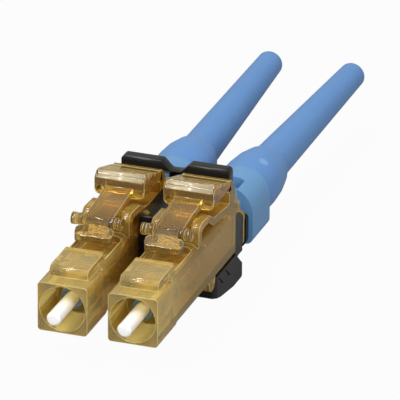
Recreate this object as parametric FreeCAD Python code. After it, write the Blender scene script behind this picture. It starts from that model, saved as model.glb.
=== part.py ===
import FreeCAD, Part

import math
import os

# Duplex small-form fibre connector: two plugs with rear-pivot latch levers, held side by side
# by a one-piece clip.
#
# Working datum while the pieces are drawn: Y = 0 at the front face of the noses, Z = 0 on the
# ferrule axes, X = 0 midway between the two plugs. Ferrules point to -Y, boots to +Y, levers
# are on top. At the end everything moves so that the origin is at the bottom centre.

Vector = FreeCAD.Vector

# ---------------------------------------------------------------- driving dimensions (mm)

PITCH = 6.25                 # between the two ferrule axes
NOSE_WIDTH = 4.42            # square section of the nose
FIT_GAP = 0.05               # between pieces that are fixed to each other
RUN_GAP = 0.07               # radial gap of what slides
POINT_APART = 1e-6           # points nearer than this are one point
PAST = 1.0                   # how far a cutter runs past the face that it cuts
SINK = 0.40                  # how far shapes of one moulding run into each other

# moulding radii
EDGE_SHARP = 0.05
EDGE_FINE = 0.12
EDGE_SOFT = 0.20
EDGE_ROUND = 0.35
EDGE_FULL = 0.75

# housing: nose
NOSE_LENGTH = 4.42           # side face of the nose, at its top and bottom edges
NOSE_BULGE = 0.95            # how far that side face swells backwards at mid height
NOSE_CORNER = 0.30
NOSE_WALL = 0.19             # between the round front bore and the flat sides
BODY_STEP = 0.06             # the body is this much slimmer than the nose, each side
BODY_WALL = 0.65
BULKHEAD_Y = 3.80            # front face of the inner wall that seats the ferrule holder
BULKHEAD_THICK = 0.60
KEY_WIDTH = 0.55             # notches round the opening in that wall
KEY_DEPTH = 0.28
KEY_COUNT = 4

# housing: guard block in front of the lever's tip
GUARD_HALF = 1.72
GUARD_FRONT = 1.50
GUARD_TIP_GAP = 1.80         # from its rear end to the lever's tip
GUARD_RISE = 0.91            # above the nose
GUARD_LIP = 0.14             # rise of its rear lip
GUARD_LIP_LENGTH = 0.55
GUARD_UNDERCUT = 0.18        # its rear end leans this far forward on the way down
GUARD_NOSE_R = 0.55
GUARD_SLIT_START = 1.60      # thin slit in each side
GUARD_SLIT_LENGTH = 1.10
GUARD_SLIT_HEIGHT = 0.16
GUARD_SLIT_LOW = 0.58
GUARD_SLIT_DEPTH = 0.30

# housing: body
BODY_FRONT_RISE = 0.59       # above the nose
BODY_FRONT_CORNER = 0.95
BODY_REAR_RISE = 0.21
BODY_REAR_CORNER = 0.70
BODY_BOTTOM_CORNER = 0.30
SHOULDER_Y = 11.00           # where the higher front part of the body ends, at its top
SHOULDER_RUN = 1.60          # how far that edge leans back on its way down
SHOULDER_DROP = 1.25
TIP_TRAVEL = 0.74            # room under the lever's tip
TIP_POCKET_PAST = 1.22       # from the lugs to the rear end of that room
TIP_SIDE_GAP = 0.08
UNDER_LUG_Y = 13.90          # small stops under the side walls
UNDER_LUG_R = 0.62
UNDER_LUG_DROP = 0.85
UNDER_LUG_WIDTH = 0.60
UNDER_LUG_SLOPE = 0.30
UNDER_LUG_ROUND = 0.50

# housing: bridge over the body, under the lever
BRIDGE_LEAD = 0.65           # its front stands this far ahead of the shoulder
BRIDGE_RISE = 2.31           # top of its hump above the nose
BRIDGE_HUMP_LENGTH = 2.70
BRIDGE_HUMP_FALL = 0.12
BRIDGE_RAMP = 1.10           # from the hump down to the strip
BRIDGE_STRIP_RISE = 1.49
BRIDGE_STRIP_FALL = 0.50     # how much the strip falls on its way to the post
BRIDGE_STRIP_END = 0.60      # it runs into the post by this much
BRIDGE_THICK = 0.72
SADDLE_SIDE_GAP = 0.16       # trough beside the beam
SADDLE_DEPTH = 0.76
SADDLE_FLOOR = 0.47

# housing: rear post, slot for the clip, rear flange
POST_LEAN_TOP = 0.55         # flat top, then the two slopes of the back
POST_BACK_Y = 1.30
POST_BACK_DROP = 0.75
POST_BACK_R = 0.70
POST_HOLLOW = 0.20           # from the pivot to the front face of the post
POST_DEPTH = 1.85            # from the pivot to the slot
SLOT_LENGTH = 2.15
SLOT_TOP = 1.55
SLOT_FLAT = 0.75             # level part of the slot's top edge
SLOT_FALL = 0.90             # the rest falls towards the rear
SLOT_INNER_HALF = 1.30       # width of floor left between the two side slots
FLANGE_THICK = 0.25
POST_SKIN = 0.22             # wall left above the slot
POST_FOOT_Y = 0.85           # where the post's back meets that wall, behind the slot's front

# latch lever
PIVOT_Y = 17.95
PIVOT_RISE = 2.24            # above the nose
SEAM_GAP = 0.06              # between the lever's root and the post
LEVER_ROOT_THICK = 1.01
SLAB_RISE = 0.31             # underside of the slab behind the trigger, above the pivot
SLAB_END = 0.50
TRIGGER_LENGTH = 4.23        # in front of the pivot
TRIGGER_RISE = 2.15          # above the pivot
TRIGGER_BEVEL = 0.62         # sloping front edge that carries the two wide grooves
TRIGGER_LIP_DROP = 0.03      # its lower lip, below the pivot
TRIGGER_LIP_LENGTH = 0.95
TRIGGER_LIP_SLOPE = 0.35
TRIGGER_HALF = 2.26
TRIGGER_CORNER = 0.62        # lower corners, seen from the front
TRIGGER_TOP_CORNER = 0.25
BEVEL_GROOVES = 2
BEVEL_GROOVE_SHARE = 0.64    # of each groove's share of the bevel that is cut away
BEVEL_GROOVE_DEPTH = 0.07
BEVEL_END_WALL = 0.22
GRIP_COUNT = 3               # teeth across the trigger's top
GRIP_PITCH = 0.80
GRIP_WIDTH = 0.42
GRIP_DEPTH = 0.24
SCOOP_R = 0.38               # hollows in the trigger's face, each side of the beam
SCOOP_DEPTH = 0.50
SCOOP_RISE = 0.08
BEAM_HALF = 1.22
BEAM_THICK = 0.68
BEAM_ROOT_RISE = 0.91        # above the pivot, at the trigger
BEAM_BEND = 0.80             # radius of the bend at the lugs
LUG_Y = 8.38
LUG_RISE = 2.29              # above the nose
LUG_R = 0.53
LUG_OVERHANG = 0.03          # each lug stands out this far past the nose's side
LUG_FLAT_COUNT = 12
LUG_WAIST = 0.14             # groove round the middle of each lug
LUG_WAIST_DEPTH = 0.06
TIP_REACH = 1.28             # in front of the lugs
TIP_RISE = 1.37              # above the nose
TIP_HALF = 1.70
TIP_CORNER = 0.40

# ferrule and what floats with it
FERRULE_R = 0.6245
FERRULE_OUT = 2.20           # beyond the nose
FERRULE_LENGTH = 6.50
FERRULE_CHAMFER = 0.18
HOLDER_PROUD = 1.45          # in front of the bulkhead
HOLDER_WALL = 0.44
HOLDER_RIM = 0.16
HEX_THICK = 1.30
HEX_STEP = 0.50              # the round part runs this far short of the hexagon's rear
SEAT_GAP = 0.02              # of what the spring presses on
STEM_WALL = 0.29
STEM_LENGTH = 2.60
GUIDE_R = 0.42
GUIDE_WALL = 0.16
GUIDE_START = 0.28           # behind the hexagon
GUIDE_SHORT = 1.70           # its rear end, in front of the rear body's end

# spring
WIRE_R = 0.15
WIRE_FLAT_COUNT = 4
SPRING_GAP = 0.19            # round the stem
SPRING_TURN_COUNT = 6

# crimp body, sleeve
STOP_Y = 12.20               # front face that the spring pushes on
STOP_SHORT = 0.40            # its square head ends this far in front of the slot
SPIGOT_CORNER = 0.25
POST_TUBE_R = 1.22
POST_TUBE_OUT = 4.10         # behind the rear body
CRIMP_RING_PITCH = 2.10
CRIMP_RING_DEPTH = 0.07
CRIMP_RING_INSET = 0.30
SLEEVE_SETBACK = 0.60        # behind the rear body
SLEEVE_LENGTH = 4.60
SLEEVE_WALL = 0.17

# rear body
REAR_BODY_GAP = 0.11         # behind the clip's saddle
REAR_BODY_LENGTH = 4.55
REAR_BODY_APART = 1.01       # between the two rear bodies
REAR_BODY_CORNER = 0.70
REAR_BODY_FLAT = 0.17        # half of the flat left on top; the upper corners take the rest
REAR_BODY_PROUD = 0.02       # its sides stand this far past the boot at the seam
REAR_SLOT_HALF = 1.12        # key slot in its top
REAR_SLOT_LENGTH = 2.10
REAR_SLOT_DEPTH = 1.05

# boot
BOOT_SEAM = 0.05
BOOT_SPLAY = 1.7             # degrees that each boot leans outwards
BOOT_LENGTH = 28.50
BOOT_BELLY = 2.30            # widest point, behind the seam
COLLAR_PAST = 0.27           # the collar ends this far behind the room for the sleeve
COLLAR_WALL = 0.45
COLLAR_SWELL = 0.10
BOOT_NECK_LENGTH = 0.80
BOOT_BORE_R = 0.85
BOOT_TAIL_WALL = 0.91
BOOT_END_WALL = 0.35
BOOT_END_ROUND = 0.15
BOOT_ROOM = 0.28             # round the sleeve

# duplex clip
CLIP_GAP = 0.12              # to the housings
CLIP_BAR_AHEAD = 0.80        # the upper bar stands this far ahead of the slots
CLIP_BAR_THICK = 1.10
CLIP_BAR_RISE = 1.53         # its top, above the pivot
CLIP_BAR_DEPTH = 0.90        # its height over the posts
CLIP_BAR_SLOPE = 0.85        # its lower front edge is cut off by this much
CLIP_VALLEY_DROP = 0.86      # from its top to the valley between the tabs
CLIP_TAB_OUTER = 1.77        # from the ferrule axis to each end of a tab
CLIP_TAB_INNER = 1.80
CLIP_TAB_CORNER = 0.42
CLIP_TAB_SLANT = 0.84
CLIP_POST_OUT = 0.05         # the outer posts stand this far inside the housing's sides
WEB_REACH = 7.55             # the low part of the middle web, ahead of the slots
WEB_TOP = 3.70
WEB_CHIN_DROP = 1.00         # its lower front corner, below the ferrule axis
FOOT_LENGTH = 7.15
FOOT_SHORT = 0.30            # it ends this far in front of the slots' rear
FOOT_FRONT_DROP = 4.15
FOOT_REAR_DROP = 5.05
FOOT_TOE_LENGTH = 1.60
FOOT_TOE_DROP = 0.42
FOOT_FLAT = 2.20             # level part of its underside, at the rear
FOOT_HEEL = 0.60
FOOT_CHAMFER = 0.30
FOOT_CHAMFER_LENGTH = 0.70
SADDLE_PLATE_THICK = 0.62    # U-shaped plate behind the flanges
SADDLE_PLATE_OUT = 0.10      # it stands this far past the housing's sides
SADDLE_PLATE_TOP = 0.35
SADDLE_PLATE_DROP = 2.75
SADDLE_PLATE_R = 0.90
RIB_SLOT_COUNT = 2           # short slanted grooves in the foot's sides
RIB_SLOT_START = 0.85
RIB_SLOT_PITCH = 1.75
RIB_SLOT_WIDTH = 0.26
RIB_SLOT_DEPTH = 0.12
RIB_SLOT_TOP = 0.28          # below the foot's upper face
RIB_SLOT_HEIGHT = 0.90
RIB_SLOT_LEAN = 1.10         # its lower end is this much further back
HEEL_CUT_WIDTH = 0.55        # the foot's rear upper corners are cut off by this much
HEEL_CUT_LENGTH = 1.65
HEEL_CUT_DROP = 1.45

# ---------------------------------------------------------------- worked-out places

NOSE_HALF = NOSE_WIDTH / 2
BODY_HALF = NOSE_HALF - BODY_STEP
BODY_FRONT_TOP = NOSE_HALF + BODY_FRONT_RISE
BODY_REAR_TOP = NOSE_HALF + BODY_REAR_RISE
CAVITY_HALF = BODY_HALF - BODY_WALL
CAVITY_FRONT = BULKHEAD_Y + BULKHEAD_THICK
SPIGOT_HALF = CAVITY_HALF - FIT_GAP

PIVOT_Z = NOSE_HALF + PIVOT_RISE
LEVER_ROOT_TOP = PIVOT_Z + LEVER_ROOT_THICK
TRIGGER_FRONT = PIVOT_Y - TRIGGER_LENGTH
TRIGGER_TOP = PIVOT_Z + TRIGGER_RISE
TRIGGER_LIP = PIVOT_Z - TRIGGER_LIP_DROP
BEAM_ROOT_TOP = PIVOT_Z + BEAM_ROOT_RISE
LUG_Z = NOSE_HALF + LUG_RISE
LUG_END = NOSE_HALF + LUG_OVERHANG
TIP_Y = LUG_Y - TIP_REACH
TIP_TOP = NOSE_HALF + TIP_RISE

GUARD_REAR = TIP_Y - GUARD_TIP_GAP
GUARD_TOP = NOSE_HALF + GUARD_RISE
TIP_POCKET_FLOOR = TIP_TOP - BEAM_THICK - TIP_TRAVEL
TIP_POCKET_HALF = TIP_HALF + TIP_SIDE_GAP
TIP_POCKET_REAR = LUG_Y + TIP_POCKET_PAST
BRIDGE_FRONT = SHOULDER_Y - BRIDGE_LEAD
BRIDGE_TOP = NOSE_HALF + BRIDGE_RISE
BRIDGE_HUMP_END = BRIDGE_FRONT + BRIDGE_HUMP_LENGTH
BRIDGE_STRIP_Y = BRIDGE_HUMP_END + BRIDGE_RAMP
BRIDGE_STRIP_TOP = NOSE_HALF + BRIDGE_STRIP_RISE
SADDLE_HALF = BEAM_HALF + SADDLE_SIDE_GAP
POST_FRONT = PIVOT_Y + POST_HOLLOW
SLOT_FRONT = PIVOT_Y + POST_DEPTH
SLOT_REAR = SLOT_FRONT + SLOT_LENGTH
SLOT_REAR_TOP = SLOT_TOP - SLOT_FALL
POST_FOOT = SLOT_FRONT + POST_FOOT_Y
HOUSING_REAR = SLOT_REAR + FLANGE_THICK

HOLDER_FRONT = BULKHEAD_Y - HOLDER_PROUD
HOLDER_R = FERRULE_R + FIT_GAP / 2 + HOLDER_WALL
HOLDER_HOLE_R = HOLDER_R + RUN_GAP
HEX_FRONT = CAVITY_FRONT + SEAT_GAP
HEX_REAR = HEX_FRONT + HEX_THICK
HEX_CORNER_R = CAVITY_HALF - RUN_GAP
FERRULE_REAR = FERRULE_LENGTH - FERRULE_OUT
STEM_R = GUIDE_R + FIT_GAP + STEM_WALL
STEM_END = HEX_REAR + STEM_LENGTH
SPRING_R = STEM_R + SPRING_GAP + WIRE_R

REAR_BODY_HALF = (PITCH - REAR_BODY_APART) / 2
SADDLE_PLATE_FRONT = HOUSING_REAR + CLIP_GAP
SADDLE_PLATE_REAR = SADDLE_PLATE_FRONT + SADDLE_PLATE_THICK
REAR_BODY_FRONT = SADDLE_PLATE_REAR + REAR_BODY_GAP
REAR_BODY_END = REAR_BODY_FRONT + REAR_BODY_LENGTH
BOOT_FRONT_R = REAR_BODY_HALF - REAR_BODY_PROUD
STOP_END = SLOT_FRONT - STOP_SHORT
POST_TUBE_END = REAR_BODY_END + POST_TUBE_OUT
SLEEVE_START = REAR_BODY_END + SLEEVE_SETBACK
SLEEVE_END = SLEEVE_START + SLEEVE_LENGTH
SLEEVE_BORE_R = POST_TUBE_R + FIT_GAP
SLEEVE_R = SLEEVE_BORE_R + SLEEVE_WALL

BOOT_FRONT = REAR_BODY_END + BOOT_SEAM
BOOT_END = REAR_BODY_END + BOOT_LENGTH
BOOT_END_R = BOOT_BORE_R + BOOT_END_WALL
SLEEVE_ROOM_R = SLEEVE_R + BOOT_ROOM
SLEEVE_ROOM_END = SLEEVE_END + BOOT_ROOM
COLLAR_END = SLEEVE_ROOM_END + COLLAR_PAST
COLLAR_R = SLEEVE_ROOM_R + COLLAR_WALL
BOOT_NECK = COLLAR_END + BOOT_NECK_LENGTH
BOOT_TAIL_R = BOOT_BORE_R + BOOT_TAIL_WALL

CLIP_HALF = PITCH / 2 + BODY_HALF
CLIP_BAR_FRONT = SLOT_FRONT - CLIP_BAR_AHEAD
CLIP_BAR_REAR = CLIP_BAR_FRONT + CLIP_BAR_THICK
CLIP_TOP = PIVOT_Z + CLIP_BAR_RISE
CLIP_VALLEY = CLIP_TOP - CLIP_VALLEY_DROP
CLIP_FLOOR = -BODY_HALF - CLIP_GAP
FOOT_REAR = SLOT_REAR - FOOT_SHORT
FOOT_FRONT = FOOT_REAR - FOOT_LENGTH


# ---------------------------------------------------------------- drawing helpers

def rounded_wire(corners, place):
    """Closed wire through (a, b, radius) corners, straight runs joined by tangent arcs."""
    count = len(corners)
    starts, mids, ends = [], [], []
    for i, (a, b, radius) in enumerate(corners):
        here = Vector(a, b, 0)
        back = Vector(*corners[i - 1][:2], 0) - here
        ahead = Vector(*corners[(i + 1) % count][:2], 0) - here
        back.normalize()
        ahead.normalize()
        half = back.getAngle(ahead) / 2
        trim = radius / math.tan(half)
        bisector = back + ahead
        if radius and bisector.Length > POINT_APART:
            bisector.normalize()
            mids.append(here + bisector * (radius / math.sin(half) - radius))
        else:
            mids.append(None)
        starts.append(here + back * trim)
        ends.append(here + ahead * trim)
    edges = []
    for i in range(count):
        if mids[i] is not None:
            arc = [place(p.x, p.y) for p in (starts[i], mids[i], ends[i])]
            edges.append(Part.Arc(*arc).toShape())
        following = starts[(i + 1) % count]
        if (following - ends[i]).Length > POINT_APART:
            run = [place(p.x, p.y) for p in (ends[i], following)]
            edges.append(Part.makeLine(*run))
    return Part.Wire(edges)


def side_solid(corners, x_from, x_to):
    """Outline given in (Y, Z, radius), extruded along X."""
    wire = rounded_wire(corners, lambda y, z: Vector(x_from, y, z))
    return Part.Face(wire).extrude(Vector(x_to - x_from, 0, 0))


def front_solid(corners, y_from, y_to):
    """Outline given in (X, Z, radius), extruded along Y."""
    wire = rounded_wire(corners, lambda x, z: Vector(x, y_from, z))
    return Part.Face(wire).extrude(Vector(0, y_to - y_from, 0))


def plan_solid(corners, z_from, z_to):
    """Outline given in (X, Y, radius), extruded along Z."""
    wire = rounded_wire(corners, lambda x, y: Vector(x, y, z_from))
    return Part.Face(wire).extrude(Vector(0, 0, z_to - z_from))


def box(x_from, x_to, y_from, y_to, z_from, z_to):
    """Box between two corners, each pair of X limits in either order."""
    left = min(x_from, x_to)
    return Part.makeBox(abs(x_to - x_from), y_to - y_from, z_to - z_from, Vector(left, y_from, z_from))


def block(half, bottom, top, top_round, bottom_round, y_from, y_to):
    """Bar along Y, symmetrical in X, with rounded long edges."""
    corners = [(-half, bottom, bottom_round), (half, bottom, bottom_round),
               (half, top, top_round), (-half, top, top_round)]
    return front_solid(corners, y_from, y_to)


def spigot(y_from, y_to):
    """Square bar that slips into the housing's rear opening."""
    return block(SPIGOT_HALF, -SPIGOT_HALF, SPIGOT_HALF, SPIGOT_CORNER, SPIGOT_CORNER, y_from, y_to)


def rod(radius, y_from, y_to):
    """Cylinder along Y on the ferrule axis."""
    return Part.makeCylinder(radius, y_to - y_from, Vector(0, y_from, 0), Vector(0, 1, 0))


def turned(points):
    """Solid of revolution about the ferrule axis from straight (Y, radius) runs."""
    ring = [Vector(0, y, r) for y, r in points]
    ring.append(ring[0])
    return Part.Face(Part.makePolygon(ring)).revolve(Vector(0, 0, 0), Vector(0, 1, 0), 360)


def polygon(radius, sides):
    """Corners of a regular polygon round the origin, without rounding."""
    step = 2 * math.pi / sides
    return [(radius * math.cos(step * i), radius * math.sin(step * i), 0) for i in range(sides)]


# ---------------------------------------------------------------- housing

def nose():
    top, bottom = Vector(0, NOSE_LENGTH, NOSE_HALF), Vector(0, NOSE_LENGTH, -NOSE_HALF)
    swell = Part.Arc(top, Vector(0, NOSE_LENGTH + NOSE_BULGE, 0), bottom).toShape()
    front = [bottom, Vector(0, 0, -NOSE_HALF), Vector(0, 0, NOSE_HALF), top]
    face = Part.Face(Part.Wire([swell] + [Part.makeLine(a, b) for a, b in zip(front, front[1:])]))
    sides = face.extrude(Vector(NOSE_WIDTH, 0, 0))
    sides.translate(Vector(-NOSE_HALF, 0, 0))
    square = block(NOSE_HALF, -NOSE_HALF, NOSE_HALF, NOSE_CORNER, NOSE_CORNER,
                   0, NOSE_LENGTH + NOSE_BULGE)
    return sides.common(square)


def guard_block():
    """Keeps a pulled cord from snagging on the lever's tip."""
    base = NOSE_HALF - NOSE_CORNER
    side = [(GUARD_FRONT, base, 0), (GUARD_FRONT, GUARD_TOP, GUARD_NOSE_R),
            (GUARD_REAR - GUARD_LIP_LENGTH, GUARD_TOP, EDGE_ROUND),
            (GUARD_REAR, GUARD_TOP + GUARD_LIP, EDGE_SHARP),
            (GUARD_REAR - GUARD_UNDERCUT, base, 0)]
    solid = side_solid(side, -GUARD_HALF, GUARD_HALF)
    crown = block(GUARD_HALF, base, GUARD_TOP + GUARD_LIP, EDGE_SOFT, 0, GUARD_FRONT, GUARD_REAR)
    solid = solid.common(crown)
    slit_y = GUARD_FRONT + GUARD_SLIT_START
    slit_z = GUARD_TOP - GUARD_SLIT_LOW
    for side in (-1, 1):
        outer = side * (GUARD_HALF + PAST)
        inner = side * (GUARD_HALF - GUARD_SLIT_DEPTH)
        solid = solid.cut(box(inner, outer, slit_y, slit_y + GUARD_SLIT_LENGTH,
                              slit_z, slit_z + GUARD_SLIT_HEIGHT))
    return solid


def body_walls():
    """The body: a higher front part that ends in a leaning shoulder, and a lower rear part."""
    bottom = -BODY_HALF
    shoulder_end = SHOULDER_Y + SHOULDER_RUN
    front = block(BODY_HALF, bottom, BODY_FRONT_TOP, BODY_FRONT_CORNER, BODY_BOTTOM_CORNER,
                  NOSE_LENGTH - SINK, shoulder_end)
    lean = [(0, bottom, 0), (shoulder_end, bottom, 0),
            (shoulder_end, BODY_FRONT_TOP - SHOULDER_DROP, 0),
            (SHOULDER_Y, BODY_FRONT_TOP, 0), (0, BODY_FRONT_TOP, 0)]
    front = front.common(side_solid(lean, -BODY_HALF, BODY_HALF))
    rear = block(BODY_HALF, bottom, BODY_REAR_TOP, BODY_REAR_CORNER, BODY_BOTTOM_CORNER,
                 SHOULDER_Y - PAST, HOUSING_REAR)
    half = TIP_POCKET_HALF
    outline = [(-half, GUARD_REAR, 0), (half, GUARD_REAR, 0),
               (half, TIP_POCKET_REAR, EDGE_ROUND), (-half, TIP_POCKET_REAR, EDGE_ROUND)]
    pocket = plan_solid(outline, TIP_POCKET_FLOOR, BODY_FRONT_TOP + PAST)
    return front.cut(pocket).fuse(rear)


def bridge_top(root):
    """Upper line of the bridge, from its front over the hump to the strip."""
    return [(BRIDGE_FRONT, root, 0), (BRIDGE_FRONT, BRIDGE_TOP, EDGE_FULL),
            (BRIDGE_HUMP_END, BRIDGE_TOP - BRIDGE_HUMP_FALL, EDGE_ROUND),
            (BRIDGE_STRIP_Y, BRIDGE_STRIP_TOP, EDGE_SOFT)]


def bridge():
    """Strap from the shoulder to the rear post, with a trough where the beam passes over."""
    root = BODY_FRONT_TOP - SINK
    inner_front = BRIDGE_FRONT + BRIDGE_THICK
    inner_top = BRIDGE_TOP - BRIDGE_THICK
    inner_strip = BRIDGE_STRIP_TOP - BRIDGE_THICK
    end = POST_FRONT + BRIDGE_STRIP_END
    side = bridge_top(root)
    side += [(end, BRIDGE_STRIP_TOP - BRIDGE_STRIP_FALL, 0),
             (end, inner_strip - BRIDGE_STRIP_FALL, 0), (BRIDGE_STRIP_Y, inner_strip, EDGE_SOFT),
             (BRIDGE_HUMP_END - EDGE_SOFT, inner_top, EDGE_ROUND),
             (inner_front, inner_top, EDGE_ROUND), (inner_front, root, 0)]
    strap = side_solid(side, -BODY_HALF, BODY_HALF)
    floor_top = BRIDGE_TOP - SADDLE_DEPTH
    trough = box(-SADDLE_HALF, SADDLE_HALF, BRIDGE_FRONT - PAST, BRIDGE_STRIP_Y,
                 floor_top, BRIDGE_TOP + PAST)
    floor = box(-SADDLE_HALF, SADDLE_HALF, BRIDGE_FRONT, BRIDGE_STRIP_Y + SINK,
                floor_top - SADDLE_FLOOR, floor_top)
    hump = side_solid(bridge_top(root) + [(BRIDGE_STRIP_Y + SINK, root, 0)],
                      -SADDLE_HALF, SADDLE_HALF)
    return strap.cut(trough).fuse(floor.common(hump))


def rear_post():
    """Wedge that carries the lever, its back leaning forward, and the shoulder over the slot."""
    low = SLOT_REAR_TOP - PAST
    seam = PIVOT_Y + SEAM_GAP / 2
    side = [(POST_FRONT, low, 0), (POST_FRONT, PIVOT_Z, EDGE_ROUND),
            (seam, PIVOT_Z, 0), (seam, LEVER_ROOT_TOP, 0),
            (PIVOT_Y + POST_LEAN_TOP, LEVER_ROOT_TOP - EDGE_SHARP, EDGE_ROUND),
            (PIVOT_Y + POST_BACK_Y, LEVER_ROOT_TOP - POST_BACK_DROP, POST_BACK_R),
            (POST_FOOT, SLOT_TOP + POST_SKIN, EDGE_ROUND),
            (HOUSING_REAR, SLOT_REAR_TOP + POST_SKIN, EDGE_ROUND), (HOUSING_REAR, low, 0)]
    return side_solid(side, -BODY_HALF, BODY_HALF)


def above_slot():
    """What is taken off the rear of the body, behind the post and over the shoulder."""
    past_rear = HOUSING_REAR + PAST
    over = BODY_REAR_TOP + PAST
    side = [(POST_FOOT, SLOT_TOP + POST_SKIN, EDGE_ROUND),
            (HOUSING_REAR, SLOT_REAR_TOP + POST_SKIN, EDGE_ROUND), (HOUSING_REAR, SLOT_REAR_TOP, 0),
            (past_rear, SLOT_REAR_TOP, 0), (past_rear, over, 0), (POST_FOOT - SINK, over, 0)]
    outside = side_solid(side, -BODY_HALF - PAST, BODY_HALF + PAST)
    skin = CAVITY_HALF + POST_SKIN
    roof = box(-skin, skin, SLOT_FRONT, HOUSING_REAR, -BODY_HALF, skin)
    return outside.cut(roof)


def side_slot(side):
    """Window in one side wall where the clip's post snaps in."""
    below = -BODY_HALF - PAST
    corners = [(SLOT_FRONT, below, 0), (SLOT_FRONT, SLOT_TOP, EDGE_ROUND),
               (SLOT_FRONT + SLOT_FLAT, SLOT_TOP, EDGE_SOFT),
               (SLOT_REAR, SLOT_REAR_TOP, EDGE_SOFT), (SLOT_REAR, below, 0)]
    inner, outer = sorted((side * SLOT_INNER_HALF, side * (BODY_HALF + PAST)))
    return side_solid(corners, inner, outer)


def under_lug(side):
    """Small rounded stop that hangs from one side wall."""
    front, rear = UNDER_LUG_Y - UNDER_LUG_R, UNDER_LUG_Y + UNDER_LUG_R
    low, top = -BODY_HALF - UNDER_LUG_DROP, -BODY_HALF + BODY_BOTTOM_CORNER
    corners = [(front - UNDER_LUG_SLOPE, top, 0), (front, low, UNDER_LUG_ROUND),
               (rear, low, UNDER_LUG_ROUND), (rear, top, 0)]
    inner, outer = sorted((side * (BODY_HALF - UNDER_LUG_WIDTH), side * BODY_HALF))
    return side_solid(corners, inner, outer)


def inner_room():
    """Everything that is hollow inside the housing."""
    room = rod(NOSE_HALF - NOSE_WALL, -PAST, BULKHEAD_Y)
    opening = rod(HOLDER_HOLE_R, BULKHEAD_Y - SINK, CAVITY_FRONT + SINK)
    for i in range(KEY_COUNT):
        key = box(-KEY_WIDTH / 2, KEY_WIDTH / 2, BULKHEAD_Y - SINK, CAVITY_FRONT + SINK,
                  0, HOLDER_HOLE_R + KEY_DEPTH)
        key.rotate(Vector(0, 0, 0), Vector(0, 1, 0), 360 / KEY_COUNT * (i + 0.5))
        opening = opening.fuse(key)
    cavity = block(CAVITY_HALF, -CAVITY_HALF, CAVITY_HALF, SPIGOT_CORNER, SPIGOT_CORNER,
                   CAVITY_FRONT, HOUSING_REAR + PAST)
    return room.fuse(opening).fuse(cavity)


def housing():
    """One moulding: nose, guard, body, bridge, rear post and the under-side stops."""
    shell = nose().fuse(body_walls()).cut(above_slot())
    for piece in (guard_block(), bridge(), rear_post(), under_lug(-1), under_lug(1)):
        shell = shell.fuse(piece)
    for side in (-1, 1):
        shell = shell.cut(side_slot(side))
    return shell.cut(inner_room())


# ---------------------------------------------------------------- latch lever

def lever_side():
    """Side view of beam and trigger, from the root at the post to the free tip."""
    root = PIVOT_Y - SEAM_GAP / 2
    lip_end = TRIGGER_FRONT + TRIGGER_LIP_LENGTH
    slab_under = PIVOT_Z + SLAB_RISE
    bend_top = LUG_Z + EDGE_SOFT
    return [(root, PIVOT_Z + SEAT_GAP, 0), (root, LEVER_ROOT_TOP, 0),
            (TRIGGER_FRONT + TRIGGER_BEVEL, TRIGGER_TOP, EDGE_SHARP),
            (TRIGGER_FRONT, TRIGGER_TOP - TRIGGER_BEVEL, EDGE_FINE),
            (TRIGGER_FRONT, BEAM_ROOT_TOP, EDGE_FINE), (LUG_Y + EDGE_ROUND, bend_top, BEAM_BEND),
            (TIP_Y, TIP_TOP, EDGE_SOFT), (TIP_Y, TIP_TOP - BEAM_THICK, EDGE_FINE),
            (LUG_Y + EDGE_ROUND + EDGE_SOFT, bend_top - BEAM_THICK, BEAM_BEND),
            (TRIGGER_FRONT, BEAM_ROOT_TOP - BEAM_THICK, 0),
            (TRIGGER_FRONT + EDGE_SHARP, TRIGGER_LIP, EDGE_SOFT), (lip_end, TRIGGER_LIP, EDGE_SOFT),
            (lip_end + TRIGGER_LIP_SLOPE, slab_under, EDGE_SOFT),
            (root - SLAB_END, slab_under, EDGE_SOFT)]


def lever_plan():
    """Plan view: wide tip, slim beam, wide trigger."""
    neck = LUG_Y - LUG_R
    half = [(TIP_HALF, TIP_Y, TIP_CORNER), (TIP_HALF, neck - EDGE_SHARP, EDGE_SOFT),
            (BEAM_HALF, neck + EDGE_SOFT, EDGE_FINE), (BEAM_HALF, TRIGGER_FRONT, 0),
            (TRIGGER_HALF, TRIGGER_FRONT, 0), (TRIGGER_HALF, PIVOT_Y, 0)]
    mirrored = [(-x, y, r) for x, y, r in reversed(half)]
    return half + mirrored


def lug(side):
    """Stub that catches behind the socket's shoulder: a bar with flats round it and a waist."""
    inner = BEAM_HALF - EDGE_FINE
    middle = (BEAM_HALF + LUG_END) / 2
    corners = [(LUG_Y + a, LUG_Z + b, r) for a, b, r in polygon(LUG_R, LUG_FLAT_COUNT)]
    waist = [(LUG_Y + a, LUG_Z + b, r) for a, b, r in polygon(LUG_R - LUG_WAIST_DEPTH, LUG_FLAT_COUNT)]
    stub = side_solid(corners, inner, middle - LUG_WAIST / 2)
    stub = stub.fuse(side_solid(waist, inner, LUG_END))
    stub = stub.fuse(side_solid(corners, middle + LUG_WAIST / 2, LUG_END))
    return stub if side > 0 else stub.mirror(Vector(0, 0, 0), Vector(1, 0, 0))


def bevel_groove(number):
    """One of the wide shallow grooves in the trigger's sloping front edge."""
    share = TRIGGER_BEVEL * math.sqrt(2) / BEVEL_GROOVES
    middle = share * (number + 0.5)
    half_width = share * BEVEL_GROOVE_SHARE / 2
    half_length = TRIGGER_HALF - BEVEL_END_WALL
    groove = box(-half_length, half_length, middle - half_width, middle + half_width,
                 -BEVEL_GROOVE_DEPTH, PAST)
    groove.rotate(Vector(0, 0, 0), Vector(1, 0, 0), 45)
    groove.translate(Vector(0, TRIGGER_FRONT, TRIGGER_TOP - TRIGGER_BEVEL))
    return groove


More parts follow.
